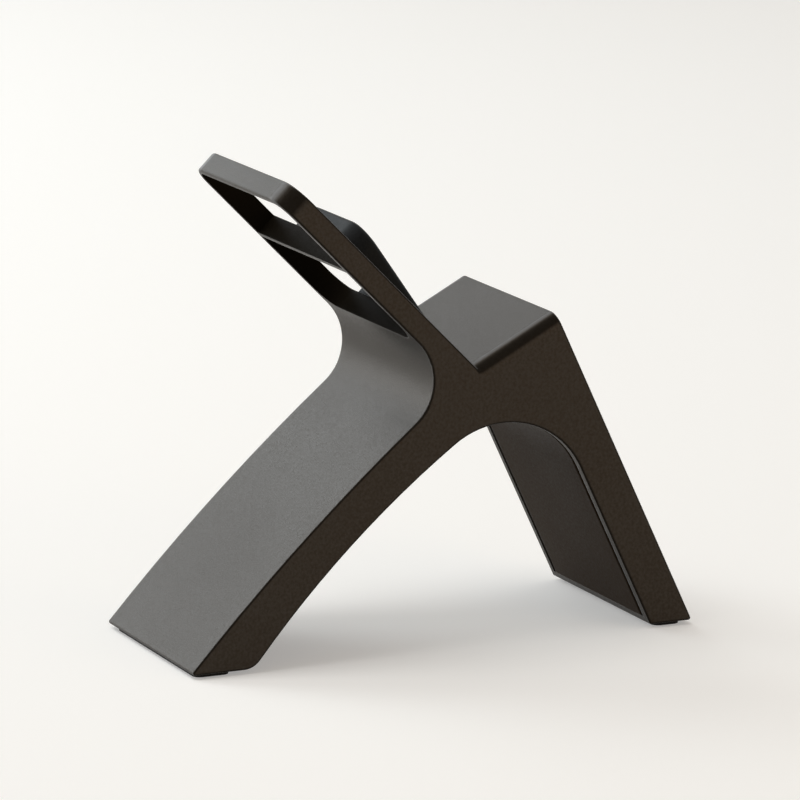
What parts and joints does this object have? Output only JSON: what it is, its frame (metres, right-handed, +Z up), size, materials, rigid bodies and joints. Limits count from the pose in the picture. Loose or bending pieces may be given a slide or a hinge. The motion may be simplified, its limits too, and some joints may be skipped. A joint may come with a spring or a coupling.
{
  "type": "game controller stand",
  "caption": "Desk stand shaped like a leaning lambda that cradles a game controller, with an open framed arm, a wedge pad and an arched pair of legs.",
  "frame": {"origin": "on the floor, under the middle of the stand's overall box", "axes": "+Z up, -Y towards the front leg and its lip, +Y towards the rear leg, X across the width"},
  "size_m": [0.042, 0.1, 0.0886],
  "materials": {
    "body_plastic": "fine even grain, matte charcoal",
    "liner_plastic": "fine even grain, matte charcoal",
    "foot_rubber": "dull black rubber",
    "pad_rubber": "soft matte black"
  },
  "bodies": {
    "root": {"body": "body_plastic", "arch_liner": "liner_plastic", "front_foot_pad": "foot_rubber", "rear_foot_pad": "foot_rubber", "cradle_pad": "pad_rubber"}
  },
  "joints": []
}
